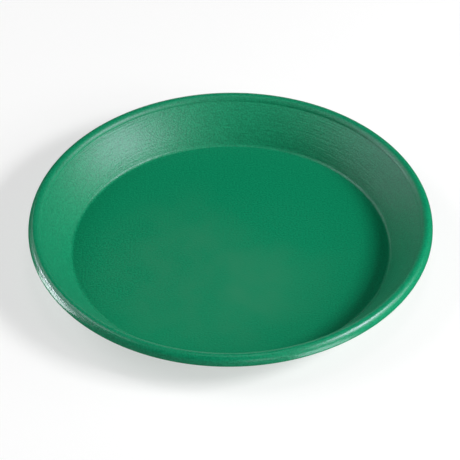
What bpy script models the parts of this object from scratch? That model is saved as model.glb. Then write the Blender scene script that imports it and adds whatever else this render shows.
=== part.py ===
"""A shallow round gold pan, moulded in one piece of green plastic.

The pan is one turned shell of nearly even thickness. It has a wide flat floor, a sloping wall that
flares a little as it rises, a fine groove round the top of the wall and another at the foot of the
rim, and a rounded rim that turns down into a free lip, open underneath. It stands on a flat foot
ring round the edge of its underside.

Units are metres and +Z is up. The origin is the centre of the underside, in the plane that the pan
stands on, and +Z is the axis that the shell is turned about.
"""

import math

import bmesh
import bpy

OBJECT_NAME = "gold_pan"

# Overall size
RIM_RADIUS = 0.178
HEIGHT = 0.0395

# Floor and foot
FLOOR_THICKNESS = 0.0024
FOOT_HEIGHT = 0.0006
FOOT_INNER_RADIUS = 0.128
FOOT_STEP_WIDTH = 0.0008
GATE_RADIUS = 0.006
GATE_DEPTH = 0.0003
GATE_STEP_WIDTH = 0.0005

# Wall. Its slope at the foot would meet the floor at CORNER_RADIUS if there were no fillet, and its
# inner face ends at the rim's inner foot.
WALL_THICKNESS = 0.0024
WALL_FOOT_ANGLE = math.radians(61.0)
WALL_TOP_RADIUS = 0.1668
CORNER_RADIUS = 0.1416
FILLET_RADIUS = 0.0045

# Fine grooves at the top of the wall's inner face, as depths below the crest
RIM_FOOT_DEPTH = 0.0048
RIM_FOOT_CUT = 0.00012
SHOULDER_DEPTH = 0.0059
GROOVE_DEPTH = 0.0066
GROOVE_CUT = 0.0001
GROOVE_HALF_WIDTH = 0.0004

# Rim and lip
CREST_RADIUS = 0.1726
RIM_DROP = 0.0076
LIP_DEPTH = 0.0093
LIP_THICKNESS = 0.0020
RIM_THICKNESS = 0.0024
UNDER_RIM_TURN = math.radians(46.0)

# How finely the curves are divided
TURN_STEPS = 72
FILLET_STEPS = 4
WALL_STEPS = 5
RIM_STEPS = 6
LIP_STEPS = 4
MERGE_DISTANCE = 0.00001

# Matte green plastic
GREEN = (0.018, 0.235, 0.115, 1.0)
ROUGHNESS = 0.5

FLOOR_TOP = FOOT_HEIGHT + FLOOR_THICKNESS

# The wall's inner face between the fillet and the foot of the rim
WALL_LOW = FLOOR_TOP + FILLET_RADIUS * (1 - math.cos(WALL_FOOT_ANGLE))
WALL_HIGH = HEIGHT - RIM_FOOT_DEPTH
WALL_LOW_RADIUS = CORNER_RADIUS + (WALL_LOW - FLOOR_TOP) / math.tan(WALL_FOOT_ANGLE)


def clear_scene():
    for obj in list(bpy.data.objects):
        bpy.data.objects.remove(obj, do_unlink=True)


def arc(centre, radii, start, end, steps):
    """Points on an ellipse round (r, z) centre, from one angle to another, both ends included."""
    points = []
    for i in range(steps + 1):
        angle = start + (end - start) * i / steps
        points.append((centre[0] + radii[0] * math.cos(angle), centre[1] + radii[1] * math.sin(angle)))
    return points


def wall_face(height):
    """The wall's inner radius at a height, and how fast it grows with height."""
    span = WALL_HIGH - WALL_LOW
    rise = height - WALL_LOW
    foot_flare = 1 / math.tan(WALL_FOOT_ANGLE)
    bend = (WALL_TOP_RADIUS - WALL_LOW_RADIUS - foot_flare * span) / span**2
    return WALL_LOW_RADIUS + foot_flare * rise + bend * rise**2, foot_flare + 2 * bend * rise


def fillet(corner_radius, height, radius, steps):
    """The arc that joins a level face at this height to the wall's foot, floor end first."""
    tangent_radius = corner_radius - radius * math.tan(WALL_FOOT_ANGLE / 2)
    down = -math.pi / 2
    return arc((tangent_radius, height + radius), (radius, radius), down, down + WALL_FOOT_ANGLE, steps)


def inner_wall():
    """The wall's inner face above the fillet, up to the shoulder between the two grooves."""
    groove_foot = HEIGHT - GROOVE_DEPTH - GROOVE_HALF_WIDTH
    points = []
    for i in range(1, WALL_STEPS + 1):
        height = WALL_LOW + (groove_foot - WALL_LOW) * i / WALL_STEPS
        points.append((wall_face(height)[0], height))
    groove = HEIGHT - GROOVE_DEPTH
    points.append((wall_face(groove)[0] + GROOVE_CUT, groove))
    for height in (groove + GROOVE_HALF_WIDTH, HEIGHT - SHOULDER_DEPTH):
        points.append((wall_face(height)[0], height))
    return points


def outer_wall():
    """The wall's outer face, one thickness outside the inner face, top to bottom."""
    points = []
    for i in range(WALL_STEPS, -1, -1):
        height = WALL_LOW + (WALL_HIGH - WALL_LOW) * i / WALL_STEPS
        radius, flare = wall_face(height)
        out = WALL_THICKNESS / math.hypot(1, flare)
        points.append((radius + out, height - out * flare))
    return points


def bead_arc():
    """Centre, radius and turn of the circular arc from the rim's crest down to its inner foot."""
    across = CREST_RADIUS - WALL_TOP_RADIUS - RIM_FOOT_CUT
    turn = 2 * math.atan2(RIM_FOOT_DEPTH, across)
    radius = across / math.sin(turn)
    return (CREST_RADIUS, HEIGHT - radius), radius, turn


def upper_profile():
    """The face that shows from above: floor, fillet, wall, grooves, and the rim up to its crest."""
    up = math.pi / 2
    centre, radius, turn = bead_arc()
    points = [(0.0, FLOOR_TOP)]
    points += fillet(CORNER_RADIUS, FLOOR_TOP, FILLET_RADIUS, FILLET_STEPS)
    points += inner_wall()
    points += arc(centre, (radius, radius), up + turn, up, RIM_STEPS)
    return points


def lip_profile():
    """From past the crest, down the rim's outer face, round the lip's edge and up inside it."""
    up = math.pi / 2
    edge_radius = LIP_THICKNESS / 2
    centre = (CREST_RADIUS, HEIGHT - RIM_DROP)
    outer = (RIM_RADIUS - CREST_RADIUS, RIM_DROP)
    inner = (outer[0] - LIP_THICKNESS, RIM_DROP - RIM_THICKNESS)
    edge_centre = (RIM_RADIUS - edge_radius, HEIGHT - LIP_DEPTH + edge_radius)
    points = arc(centre, outer, up, 0.0, RIM_STEPS)[1:]
    points += arc(edge_centre, (edge_radius, edge_radius), 0.0, -math.pi, LIP_STEPS)
    points += arc(centre, inner, 0.0, up, RIM_STEPS)
    return points


def lower_profile():
    """From under the crest, down the wall's outer face to the foot ring and in to the axis."""
    up = math.pi / 2
    centre, radius, _ = bead_arc()
    under_radius = radius - RIM_THICKNESS
    foot_side = WALL_THICKNESS / math.sin(WALL_FOOT_ANGLE) - FLOOR_TOP / math.tan(WALL_FOOT_ANGLE)
    foot_fillet = fillet(CORNER_RADIUS + foot_side, 0.0, FILLET_RADIUS + WALL_THICKNESS, FILLET_STEPS)
    points = arc(centre, (under_radius, under_radius), up, up + UNDER_RIM_TURN, FILLET_STEPS)[1:]
    points += outer_wall()
    points += reversed(foot_fillet)
    points += [
        (FOOT_INNER_RADIUS, 0.0),
        (FOOT_INNER_RADIUS - FOOT_STEP_WIDTH, FOOT_HEIGHT),
        (GATE_RADIUS, FOOT_HEIGHT),
        (GATE_RADIUS - GATE_STEP_WIDTH, FOOT_HEIGHT + GATE_DEPTH),
        (0.0, FOOT_HEIGHT + GATE_DEPTH),
    ]
    return points


def pan_profile():
    """The shell's whole section, as (r, z) points from the axis, over the rim and back to it."""
    return upper_profile() + lip_profile() + lower_profile()


def turned_object(name, profile, collection):
    """An object whose mesh is the profile at +X, with a Screw modifier that turns it about Z."""
    mesh = bpy.data.meshes.new(name)
    section = bmesh.new()
    verts = [section.verts.new((r, 0.0, z)) for r, z in profile]
    for start, end in zip(verts, verts[1:]):
        section.edges.new((start, end))
    section.to_mesh(mesh)
    section.free()
    obj = bpy.data.objects.new(name, mesh)
    collection.objects.link(obj)
    screw = obj.modifiers.new("turn", "SCREW")
    screw.axis = "Z"
    screw.angle = 2 * math.pi
    screw.steps = TURN_STEPS
    screw.render_steps = TURN_STEPS
    screw.use_merge_vertices = True
    screw.merge_threshold = MERGE_DISTANCE
    screw.use_smooth_shade = True
    return obj


def green_plastic():
    material = bpy.data.materials.new("green_plastic")
    material.use_nodes = True
    shader = material.node_tree.nodes["Principled BSDF"]
    shader.inputs["Base Color"].default_value = GREEN
    shader.inputs["Roughness"].default_value = ROUGHNESS
    shader.inputs["Metallic"].default_value = 0.0
    return material


def build_pan(collection):
    pan = turned_object("pan", pan_profile(), collection)
    pan.data.materials.append(green_plastic())
    return pan


def main():
    clear_scene()
    collection = bpy.data.collections.new(OBJECT_NAME)
    bpy.context.scene.collection.children.link(collection)
    build_pan(collection)


main()
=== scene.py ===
"""Looks of the gold pan: one smooth turned shell of matte green plastic on a plain pale floor."""

import math
import random

import bmesh
import bpy
from mathutils import Matrix, Vector


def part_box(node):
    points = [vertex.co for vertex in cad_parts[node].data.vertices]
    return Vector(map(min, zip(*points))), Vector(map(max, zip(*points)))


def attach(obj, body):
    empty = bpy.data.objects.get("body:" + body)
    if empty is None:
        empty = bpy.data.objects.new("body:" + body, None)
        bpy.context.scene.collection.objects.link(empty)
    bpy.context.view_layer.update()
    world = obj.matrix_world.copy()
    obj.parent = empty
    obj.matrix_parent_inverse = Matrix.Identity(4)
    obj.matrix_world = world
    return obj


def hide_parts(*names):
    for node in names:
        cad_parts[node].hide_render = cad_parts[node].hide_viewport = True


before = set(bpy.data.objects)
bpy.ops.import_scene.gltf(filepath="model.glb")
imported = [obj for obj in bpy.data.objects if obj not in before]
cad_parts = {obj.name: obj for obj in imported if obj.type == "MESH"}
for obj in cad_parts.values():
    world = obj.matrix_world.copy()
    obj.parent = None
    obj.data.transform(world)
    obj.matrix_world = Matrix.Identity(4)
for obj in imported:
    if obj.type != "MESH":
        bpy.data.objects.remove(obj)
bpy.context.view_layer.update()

# The rim's radius and the overall height come from the CAD solid.
PAN_LOW, PAN_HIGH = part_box("pan")
RIM_RADIUS = PAN_HIGH.x
HEIGHT = PAN_HIGH.z

# The rest of the section repeats the CAD dimensions, in metres.
FLOOR_THICKNESS = 0.0024
FOOT_HEIGHT = 0.0006
FOOT_INNER_RADIUS = 0.128
FOOT_STEP_WIDTH = 0.0008
GATE_RADIUS = 0.006
GATE_DEPTH = 0.0003
GATE_STEP_WIDTH = 0.0005
WALL_THICKNESS = 0.0024
WALL_FOOT_ANGLE = math.radians(61.0)
WALL_TOP_RADIUS = 0.1668
CORNER_RADIUS = 0.1416
FILLET_RADIUS = 0.0045
CREST_RADIUS = 0.1726
RIM_DROP = 0.0076
LIP_DEPTH = 0.0093
LIP_THICKNESS = 0.0020
RIM_THICKNESS = 0.0024
UNDER_BEAD_TURN = math.radians(46.0)
FLOOR_TOP = FOOT_HEIGHT + FLOOR_THICKNESS

# The wall's inner face runs from the fillet's upper end to the foot of the rim, and flares as it rises
RIM_FOOT_DEPTH = 0.0048
WALL_LOW = FLOOR_TOP + FILLET_RADIUS * (1 - math.cos(WALL_FOOT_ANGLE))
WALL_HIGH = HEIGHT - RIM_FOOT_DEPTH
WALL_LOW_RADIUS = CORNER_RADIUS + (WALL_LOW - FLOOR_TOP) / math.tan(WALL_FOOT_ANGLE)

# Fine rings: depth below the crest, how far they cut into the wall, half width
RINGS = (
    (0.0066, 0.00007, 0.00035),
    (RIM_FOOT_DEPTH, 0.00012, 0.0009),
)

# Turning marks that the mould leaves on the wall, as real relief in the mesh
MARK_RELIEF = 0.000012
SEED = 7

# Plastic: the moulded green between its darker and lighter grain, and the paler green of rubbed places,
# which is their wear and also a painted hazy sheen
GREEN_DARK = (0.0000, 0.156, 0.0690, 1.0)
GREEN_LIGHT = (0.0056, 0.259, 0.1190, 1.0)
GREEN_RUBBED_SHEEN = (0.0130, 0.208, 0.0970, 1.0)
SHEEN_LEVEL = 0.50
SHEEN_TINT = (0.85, 0.78, 1.0, 1.0)
WHITE = (1.0, 1.0, 1.0, 1.0)
BLACK = (0.0, 0.0, 0.0, 1.0)

# Grain of the plastic, and the cloudy changes in the wall's roughness. A step is the range of the
# noise that is stretched to run from 0 to 1, and NOISE_MIDDLE is the middle of that range.
NOISE_MIDDLE = 0.5
GRAIN_SIZE = 0.0015
GRAIN_DETAIL = 1.0
GRAIN_STEP = (0.25, 0.75)
GRAIN_RELIEF = 0.00018
CLOUD_SIZE = 0.07
CLOUD_DETAIL = 3.0

# Contrast of the colour grain, in general and on the coarser left of the floor
GRAIN_CONTRAST = (0.75, 1.7)
GRAINY_SPOT = ((-0.095, -0.020), 0.075, 0.010)

# Roughness of the wall, of the floor where it is clean and where it is rubbed, of the rim past its
# crest, and of the fillet
WALL_ROUGHNESS = (0.41, 0.50)
CLEAN_ROUGHNESS = 0.28
RUBBED_ROUGHNESS = 0.46
EDGE_ROUGHNESS = 0.30
FILLET_ROUGHNESS = 0.38

# Streaks that the turned mould leaves round the wall: their pitch down its slope, their length round
# the pan, their relief and how much they lighten the colour
MARK_PITCH = 0.0017
MARK_LENGTH = 0.014
MARK_BUMP = 0.00020
MARK_TINT = 0.13
MARK_SLOPE = math.radians(52.0)
MARK_DETAIL = 1.5
MARK_STEP = (0.3, 0.7)

# How far above the floor's face still counts as floor, and how wide the change of finish is at an edge
FLOOR_BAND = 0.0004
EDGE_BAND = 0.0016

# Rubbed places on the floor, which are rougher and whose paler colour is also a painted sheen: centre
# across and along the floor, the radius where the place ends and the radius inside which it is full
RUB_SHEEN_WIDE = ((-0.020, -0.035), 0.150, 0.020)
RUB_SHEEN_SPOT = ((0.022, -0.055), 0.050, 0.002)
CLEAN_DULL_SPOT = ((0.055, 0.060), 0.090, 0.005)

# Noise that breaks the wide rubbed, painted-sheen place up, how strong that place is at least and how
# much more at most, and what the other two places add; the clean place takes both rub and painted sheen
# away
RUB_SHEEN_SIZE = 0.030
RUB_SHEEN_DETAIL = 3.0
RUB_SHEEN_STEP = (0.25, 0.75)
RUB_SHEEN_LEAST = 0.35
RUB_SHEEN_MORE = 0.55
RUB_SHEEN_SPOT_ADDS = 0.25
CLEAN_DULL_SPOT_ADDS = -0.7

# Studio: each softbox's azimuth and elevation in degrees, width and height in metres, power in watts
LIGHT_DISTANCE = 2.2
KEY = (-16.0, 36.0, 0.9, 0.4, 48.0)
LOW_FRONT_RIGHT = (-35.0, 24.0, 0.9, 0.5, 11.0)
LOW_RIGHT = (-8.0, 16.0, 1.5, 0.6, 13.0)
LOW_LEFT = (170.0, 8.0, 1.8, 0.5, 12.0)
HIGH_LEFT = (170.0, 42.0, 1.8, 0.9, 19.0)
BACK_LEFT = (135.0, 24.0, 0.5, 0.5, 2.0)
BACK = (90.0, 12.0, 0.7, 0.7, 2.0)
FRONT = (285.0, 5.0, 0.5, 0.5, 4.0)
TOP = (0.0, 85.0, 0.5, 0.5, 3.5)

# Bright cards that lie on the floor and show only as reflections in the rim: azimuth and brightness
CARDS = ((197.5, 9.5), (-58.0, 6.0))
CARD_LENGTH = 0.17
CARD_WIDTH = 0.08
CARD_DISTANCE = 0.295
CARD_HEIGHT = 0.002

# A low strip of light on the left that shows only as a reflection
STRIP = (167.0, 2.0, 0.60, 0.12, 21.0)

# The studio floor's own light, its shade and its half width, and the shade of the backdrop beyond it
FLOOR_GLOW = 0.52
FLOOR_SHADE = 0.45
FLOOR_REACH = 8.0
BACKDROP_SHADE = 0.85

# Mesh density
TURN_STEPS = 384
FLOOR_STEPS = 48
WALL_STEPS = 120
OUTER_STEPS = 24
ARC_STEPS = 14

# Camera, from the photograph's viewing angle. Distances are in metres.
VIEW_ELEVATION = math.radians(41.6)
VIEW_DISTANCE = 2.848
VIEW_ROLL = math.radians(-0.64)
AIM_POINT = Vector((-0.00046, -0.00679, 0.03186))
LENS_MM = 253.5
SENSOR_MM = 36.0


def arc(centre, radii, start, end, steps):
    """Points on an ellipse round (r, z) centre, from one angle to another, both ends included."""
    points = []
    for i in range(steps + 1):
        angle = start + (end - start) * i / steps
        points.append((centre[0] + radii[0] * math.cos(angle), centre[1] + radii[1] * math.sin(angle)))
    return points


def wall_radius(height):
    """The wall's inner radius at a height, and how fast it grows with height."""
    span = WALL_HIGH - WALL_LOW
    rise = height - WALL_LOW
    foot_flare = 1 / math.tan(WALL_FOOT_ANGLE)
    bend = (WALL_TOP_RADIUS - WALL_LOW_RADIUS - foot_flare * span) / span**2
    return WALL_LOW_RADIUS + foot_flare * rise + bend * rise**2, foot_flare + 2 * bend * rise


def ring_cut(depth):
    """How far the fine rings cut into the wall at a depth below the crest."""
    cut = 0.0
    for ring_depth, deepest, half_width in RINGS:
        cut += deepest * math.exp(-(((depth - ring_depth) / half_width) ** 2))
    return cut


def fillet(corner_radius, height, radius, steps):
    """The arc that joins a level face at this height to the wall's foot, floor end first."""
    tangent_radius = corner_radius - radius * math.tan(WALL_FOOT_ANGLE / 2)
    down = -math.pi / 2
    return arc((tangent_radius, height + radius), (radius, radius), down, down + WALL_FOOT_ANGLE, steps)


def bead_arc():
    """Centre, radius and turn of the circular arc from the rim's crest down to its inner foot."""
    across = CREST_RADIUS - WALL_TOP_RADIUS - ring_cut(RIM_FOOT_DEPTH)
    turn = 2 * math.atan2(RIM_FOOT_DEPTH, across)
    radius = across / math.sin(turn)
    return (CREST_RADIUS, HEIGHT - radius), radius, turn


def inner_wall():
    """The wall's inner face from the fillet up to the rim's inner foot, rings and marks included."""
    marks = random.Random(SEED)
    points = []
    for i in range(1, WALL_STEPS):
        height = WALL_LOW + (WALL_HIGH - WALL_LOW) * i / WALL_STEPS
        cut = ring_cut(HEIGHT - height) + marks.uniform(-MARK_RELIEF, MARK_RELIEF)
        points.append((wall_radius(height)[0] + cut, height))
    return points


def outer_wall():
    """The wall's outer face, one thickness outside the inner face, top to bottom."""
    points = []
    for i in range(OUTER_STEPS, -1, -1):
        height = WALL_LOW + (WALL_HIGH - WALL_LOW) * i / OUTER_STEPS
        radius, flare = wall_radius(height)
        out = WALL_THICKNESS / math.hypot(1, flare)
        points.append((radius + out, height - out * flare))
    return points


def upper_profile():
    """The face that shows from above: floor, fillet, wall, rings, and the rim up to its crest."""
    up = math.pi / 2
    centre, radius, turn = bead_arc()
    tangent_radius = CORNER_RADIUS - FILLET_RADIUS * math.tan(WALL_FOOT_ANGLE / 2)
    points = [(tangent_radius * i / FLOOR_STEPS, FLOOR_TOP) for i in range(FLOOR_STEPS)]
    points += fillet(CORNER_RADIUS, FLOOR_TOP, FILLET_RADIUS, ARC_STEPS)
    points += inner_wall()
    points += arc(centre, (radius, radius), up + turn, up, ARC_STEPS)
    return points


def lip_profile():
    """From past the crest, down the rim's outer face, round the lip's edge and up inside it."""
    up = math.pi / 2
    edge_radius = LIP_THICKNESS / 2
    centre = (CREST_RADIUS, HEIGHT - RIM_DROP)
    outer = (RIM_RADIUS - CREST_RADIUS, RIM_DROP)
    inner = (outer[0] - LIP_THICKNESS, RIM_DROP - RIM_THICKNESS)
    edge_centre = (RIM_RADIUS - edge_radius, HEIGHT - LIP_DEPTH + edge_radius)
    points = arc(centre, outer, up, 0.0, ARC_STEPS)[1:]
    points += arc(edge_centre, (edge_radius, edge_radius), 0.0, -math.pi, ARC_STEPS)
    points += arc(centre, inner, 0.0, up, ARC_STEPS)
    return points


def lower_profile():
    """From under the crest, down the wall's outer face to the foot ring and in to the axis."""
    up = math.pi / 2
    centre, radius, _ = bead_arc()
    under_radius = radius - RIM_THICKNESS
    foot_side = WALL_THICKNESS / math.sin(WALL_FOOT_ANGLE) - FLOOR_TOP / math.tan(WALL_FOOT_ANGLE)
    points = arc(centre, (under_radius, under_radius), up, up + UNDER_BEAD_TURN, ARC_STEPS)[1:]
    points += outer_wall()
    foot_fillet = fillet(CORNER_RADIUS + foot_side, 0.0, FILLET_RADIUS + WALL_THICKNESS, ARC_STEPS)
    points += reversed(foot_fillet)
    points += [
        (FOOT_INNER_RADIUS, 0.0),
        (FOOT_INNER_RADIUS - FOOT_STEP_WIDTH, FOOT_HEIGHT),
        (GATE_RADIUS, FOOT_HEIGHT),
        (GATE_RADIUS - GATE_STEP_WIDTH, FOOT_HEIGHT + GATE_DEPTH),
        (0.0, FOOT_HEIGHT + GATE_DEPTH),
    ]
    return points


def turned_mesh(name, profile):
    """A closed mesh: the profile, whose two ends lie on the axis, turned about Z."""
    shell = bmesh.new()
    rows = []
    for r, z in profile:
        if r == 0.0:
            rows.append([shell.verts.new((0.0, 0.0, z))])
            continue
        ring = []
        for i in range(TURN_STEPS):
            angle = 2 * math.pi * i / TURN_STEPS
            ring.append(shell.verts.new((r * math.cos(angle), r * math.sin(angle), z)))
        rows.append(ring)
    for inner, outer in zip(rows, rows[1:]):
        for i in range(TURN_STEPS):
            j = i + 1
            places = ((inner, i), (outer, i), (outer, j), (inner, j))
            corners = [ring[place % len(ring)] for ring, place in places]
            shell.faces.new(list(dict.fromkeys(corners)))
    bmesh.ops.recalc_face_normals(shell, faces=shell.faces)
    mesh = bpy.data.meshes.new(name)
    shell.to_mesh(mesh)
    shell.free()
    mesh.shade_smooth()
    return mesh


def link_or_set(tree, socket, value):
    if isinstance(value, bpy.types.NodeSocket):
        tree.links.new(value, socket)
    else:
        socket.default_value = value


def noise(tree, where, size, detail):
    """Noise from 0 to 1 whose features are about this many metres across."""
    made = tree.nodes.new("ShaderNodeTexNoise")
    tree.links.new(where, made.inputs["Vector"])
    made.inputs["Scale"].default_value = 1.0 / size
    made.inputs["Detail"].default_value = detail
    return made.outputs["Fac"]


def maths(tree, operation, *values):
    made = tree.nodes.new("ShaderNodeMath")
    made.operation = operation
    for socket, value in zip(made.inputs, values):
        link_or_set(tree, socket, value)
    return made.outputs[0]


def step(tree, value, low, high):
    """A smooth step from 0 at low to 1 at high."""
    made = tree.nodes.new("ShaderNodeMapRange")
    made.interpolation_type = "SMOOTHSTEP"
    for socket, number in (("Value", value), ("From Min", low), ("From Max", high)):
        link_or_set(tree, made.inputs[socket], number)
    return made.outputs["Result"]


def blend(tree, factor, first, second):
    """A number that goes from first to second as the factor goes from 0 to 1."""
    made = tree.nodes.new("ShaderNodeMapRange")
    for socket, number in (("Value", factor), ("To Min", first), ("To Max", second)):
        link_or_set(tree, made.inputs[socket], number)
    return made.outputs["Result"]


def mix_colour(tree, factor, first, second):
    made = tree.nodes.new("ShaderNodeMix")
    made.data_type = "RGBA"
    made.clamp_factor = True
    tree.links.new(factor, made.inputs["Factor"])
    sockets = [socket for socket in made.inputs if socket.type == "RGBA"]
    link_or_set(tree, sockets[0], first)
    link_or_set(tree, sockets[1], second)
    return [socket for socket in made.outputs if socket.type == "RGBA"][0]


def bump(tree, height, distance, normal=None):
    made = tree.nodes.new("ShaderNodeBump")
    made.inputs["Distance"].default_value = distance
    tree.links.new(height, made.inputs["Height"])
    if normal is not None:
        tree.links.new(normal, made.inputs["Normal"])
    return made.outputs["Normal"]


def spot(tree, where, place):
    """1 at the middle of a round soft-edged place on the floor, 0 outside it."""
    (across, along), outer, inner = place
    apart = tree.nodes.new("ShaderNodeVectorMath")
    apart.operation = "DISTANCE"
    tree.links.new(where, apart.inputs[0])
    apart.inputs[1].default_value = (across, along, FLOOR_TOP)
    return step(tree, apart.outputs["Value"], outer, inner)


def turning_marks(tree, x, y, z, radius):
    """Noise in streaks: short along the wall's slope, long round the pan."""
    outwards = maths(tree, "MULTIPLY", radius, math.cos(MARK_SLOPE))
    slope = maths(tree, "MULTIPLY_ADD", z, math.sin(MARK_SLOPE), outwards)
    streak = tree.nodes.new("ShaderNodeCombineXYZ")
    for axis, place in (("X", x), ("Y", y)):
        bearing = maths(tree, "DIVIDE", place, radius)
        along = maths(tree, "MULTIPLY", bearing, CORNER_RADIUS / MARK_LENGTH)
        tree.links.new(along, streak.inputs[axis])
    tree.links.new(maths(tree, "MULTIPLY", slope, 1.0 / MARK_PITCH), streak.inputs["Z"])
    return noise(tree, streak.outputs[0], 1.0, MARK_DETAIL)


def rubbing_and_sheen(tree, where):
    """How rubbed the floor is, and where its paler colour paints in a hazy sheen: widest and strongest
    towards the front left, broken up by noise.
    """
    patch = step(tree, noise(tree, where, RUB_SHEEN_SIZE, RUB_SHEEN_DETAIL), *RUB_SHEEN_STEP)
    broken = maths(tree, "MULTIPLY_ADD", patch, RUB_SHEEN_MORE, RUB_SHEEN_LEAST)
    wide = maths(tree, "MULTIPLY", spot(tree, where, RUB_SHEEN_WIDE), broken)
    spotted = maths(tree, "MULTIPLY_ADD", spot(tree, where, RUB_SHEEN_SPOT), RUB_SHEEN_SPOT_ADDS, wide)
    cleaned = maths(tree, "MULTIPLY_ADD", spot(tree, where, CLEAN_DULL_SPOT), CLEAN_DULL_SPOT_ADDS, spotted)
    return maths(tree, "MAXIMUM", cleaned, 0.0)


def green_plastic():
    material = bpy.data.materials.new("green_plastic")
    material.use_nodes = True
    tree = material.node_tree
    shader = tree.nodes["Principled BSDF"]
    where = tree.nodes.new("ShaderNodeTexCoord").outputs["Object"]
    split = tree.nodes.new("ShaderNodeSeparateXYZ")
    tree.links.new(where, split.inputs[0])
    x, y, z = split.outputs
    radius = maths(tree, "SQRT", maths(tree, "MULTIPLY_ADD", y, y, maths(tree, "MULTIPLY", x, x)))
    level = maths(tree, "LESS_THAN", z, FLOOR_TOP + FLOOR_BAND)
    on_rim = step(tree, radius, WALL_TOP_RADIUS, WALL_TOP_RADIUS + EDGE_BAND)
    low = step(tree, z, WALL_LOW, FLOOR_TOP + FLOOR_BAND)
    near = step(tree, radius, WALL_LOW_RADIUS - 2 * EDGE_BAND, WALL_LOW_RADIUS - EDGE_BAND)
    past_crest = step(tree, radius, WALL_TOP_RADIUS + EDGE_BAND, CREST_RADIUS)
    on_fillet = maths(tree, "MULTIPLY", low, near)

    grain = noise(tree, where, GRAIN_SIZE, GRAIN_DETAIL)
    cloud = noise(tree, where, CLOUD_SIZE, CLOUD_DETAIL)
    marks = turning_marks(tree, x, y, z, radius)
    rub_and_sheen = maths(tree, "MULTIPLY", rubbing_and_sheen(tree, where), level)

    smooth_face = maths(tree, "MAXIMUM", level, on_rim)
    tint = blend(tree, smooth_face, MARK_TINT, 0.0)
    lines = maths(tree, "MULTIPLY", step(tree, marks, *MARK_STEP), tint)
    contrast = blend(tree, spot(tree, where, GRAINY_SPOT), *GRAIN_CONTRAST)
    uneven = maths(tree, "SUBTRACT", step(tree, grain, *GRAIN_STEP), NOISE_MIDDLE)
    grained = maths(tree, "MULTIPLY_ADD", uneven, contrast, NOISE_MIDDLE)
    speckle = maths(tree, "ADD", grained, lines)
    green = mix_colour(tree, speckle, GREEN_DARK, GREEN_LIGHT)
    # The rubbed places' paler green paints in the floor's hazy sheen as well as showing its wear
    tree.links.new(mix_colour(tree, rub_and_sheen, green, GREEN_RUBBED_SHEEN), shader.inputs["Base Color"])

    smooth, rough = WALL_ROUGHNESS
    wall = maths(tree, "MULTIPLY_ADD", cloud, rough - smooth, smooth)
    floor = maths(tree, "MULTIPLY_ADD", rub_and_sheen, RUBBED_ROUGHNESS - CLEAN_ROUGHNESS, CLEAN_ROUGHNESS)
    face = blend(tree, level, wall, floor)
    softened = blend(tree, on_fillet, face, FILLET_ROUGHNESS)
    tree.links.new(blend(tree, past_crest, softened, EDGE_ROUGHNESS), shader.inputs["Roughness"])
    shader.inputs["Specular IOR Level"].default_value = SHEEN_LEVEL
    shader.inputs["Specular Tint"].default_value = SHEEN_TINT
    pitted = bump(tree, grain, GRAIN_RELIEF)
    on_wall = blend(tree, smooth_face, marks, NOISE_MIDDLE)
    tree.links.new(bump(tree, on_wall, MARK_BUMP, pitted), shader.inputs["Normal"])
    return material


def make_pan():
    profile = upper_profile() + lip_profile() + lower_profile()
    pan = bpy.data.objects.new("pan_shell", turned_mesh("pan_shell", profile))
    bpy.context.scene.collection.objects.link(pan)
    pan.data.materials.append(green_plastic())
    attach(pan, "root")
    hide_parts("pan")


def make_floor():
    mesh = bpy.data.meshes.new("studio_floor")
    floor = bmesh.new()
    bmesh.ops.create_grid(floor, x_segments=1, y_segments=1, size=FLOOR_REACH)
    floor.to_mesh(mesh)
    floor.free()
    obj = bpy.data.objects.new("studio_floor", mesh)
    bpy.context.scene.collection.objects.link(obj)
    material = bpy.data.materials.new("floor_white")
    material.use_nodes = True
    tree = material.node_tree
    shader = tree.nodes["Principled BSDF"]
    shader.inputs["Base Color"].default_value = (FLOOR_SHADE, FLOOR_SHADE, FLOOR_SHADE, 1.0)
    shader.inputs["Roughness"].default_value = 1.0
    shader.inputs["Specular IOR Level"].default_value = 0.0
    shader.inputs["Emission Color"].default_value = WHITE
    shader.inputs["Emission Strength"].default_value = FLOOR_GLOW
    # From below, the floor lets the underside of the pan show
    side = tree.nodes.new("ShaderNodeNewGeometry").outputs["Backfacing"]
    clear = tree.nodes.new("ShaderNodeBsdfTransparent").outputs[0]
    mix = tree.nodes.new("ShaderNodeMixShader")
    tree.links.new(side, mix.inputs[0])
    tree.links.new(shader.outputs[0], mix.inputs[1])
    tree.links.new(clear, mix.inputs[2])
    tree.links.new(mix.outputs[0], tree.nodes["Material Output"].inputs["Surface"])
    obj.visible_glossy = False
    mesh.materials.append(material)


def make_cards():
    for i, (azimuth, brightness) in enumerate(CARDS):
        name = f"card_{i + 1}"
        material = bpy.data.materials.new(name)
        material.use_nodes = True
        shader = material.node_tree.nodes["Principled BSDF"]
        shader.inputs["Base Color"].default_value = BLACK
        shader.inputs["Specular IOR Level"].default_value = 0.0
        shader.inputs["Emission Color"].default_value = WHITE
        shader.inputs["Emission Strength"].default_value = brightness
        mesh = bpy.data.meshes.new(name)
        sheet = bmesh.new()
        turn = Matrix.Rotation(math.radians(azimuth), 4, "Z")
        corners = []
        for along, across in ((-1, -1), (1, -1), (1, 1), (-1, 1)):
            out = CARD_DISTANCE + along * CARD_LENGTH / 2
            corner = Vector((out, across * CARD_WIDTH / 2, CARD_HEIGHT))
            corners.append(sheet.verts.new(turn @ corner))
        sheet.faces.new(corners)
        sheet.to_mesh(mesh)
        sheet.free()
        mesh.materials.append(material)
        card = bpy.data.objects.new(name, mesh)
        bpy.context.scene.collection.objects.link(card)
        card.visible_camera = False
        card.visible_diffuse = False
        card.visible_shadow = False


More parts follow.
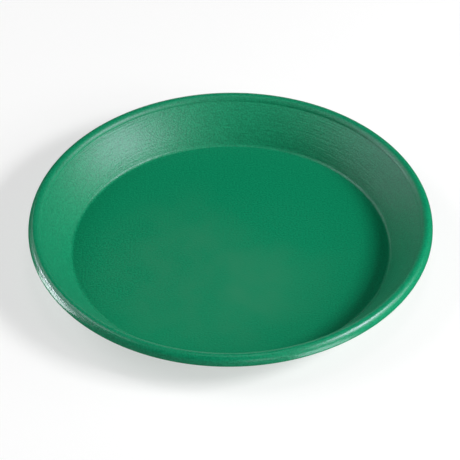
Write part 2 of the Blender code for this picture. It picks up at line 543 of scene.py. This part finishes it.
def make_camera():
    data = bpy.data.cameras.new("camera")
    data.lens = LENS_MM
    data.sensor_width = SENSOR_MM
    camera = bpy.data.objects.new("camera", data)
    bpy.context.scene.collection.objects.link(camera)
    back = Vector((0.0, -math.cos(VIEW_ELEVATION), math.sin(VIEW_ELEVATION)))
    camera.location = Vector((0.0, 0.0, HEIGHT)) + back * VIEW_DISTANCE
    look = (AIM_POINT - camera.location).to_track_quat("-Z", "Y").to_matrix().to_4x4()
    camera.matrix_world = Matrix.Translation(camera.location) @ look @ Matrix.Rotation(VIEW_ROLL, 4, "Z")
    bpy.context.scene.camera = camera


def softbox(name, azimuth, elevation, width, height, power):
    """A light at LIGHT_DISTANCE that faces the origin and doesn't show to the camera."""
    data = bpy.data.lights.new(name, "AREA")
    data.shape = "RECTANGLE"
    data.size = width
    data.size_y = height
    data.energy = power
    light = bpy.data.objects.new(name, data)
    bpy.context.scene.collection.objects.link(light)
    a, e = math.radians(azimuth), math.radians(elevation)
    out = Vector((math.cos(e) * math.cos(a), math.cos(e) * math.sin(a), math.sin(e)))
    light.location = out * LIGHT_DISTANCE
    light.rotation_mode = "QUATERNION"
    light.rotation_quaternion = out.to_track_quat("Z", "Y")
    light.visible_camera = False
    return light


def make_lights():
    softbox("key", *KEY)
    softbox("low_front_right", *LOW_FRONT_RIGHT)
    softbox("low_right", *LOW_RIGHT)
    softbox("low_left", *LOW_LEFT)
    softbox("high_left", *HIGH_LEFT)
    softbox("back_left", *BACK_LEFT)
    softbox("back", *BACK)
    softbox("front", *FRONT)
    softbox("top", *TOP)
    strip = softbox("strip", *STRIP)
    strip.visible_diffuse = False


def make_world():
    """A pale backdrop beyond the floor, which gives no light of its own."""
    world = bpy.data.worlds.new("studio")
    world.use_nodes = True
    shade = (BACKDROP_SHADE, BACKDROP_SHADE, BACKDROP_SHADE, 1.0)
    world.node_tree.nodes["Background"].inputs["Color"].default_value = shade
    bpy.context.scene.world = world
    world.cycles_visibility.diffuse = False
    world.cycles_visibility.glossy = False


make_pan()
make_floor()
make_cards()
make_camera()
make_lights()
make_world()
bpy.context.scene.view_settings.view_transform = "Standard"
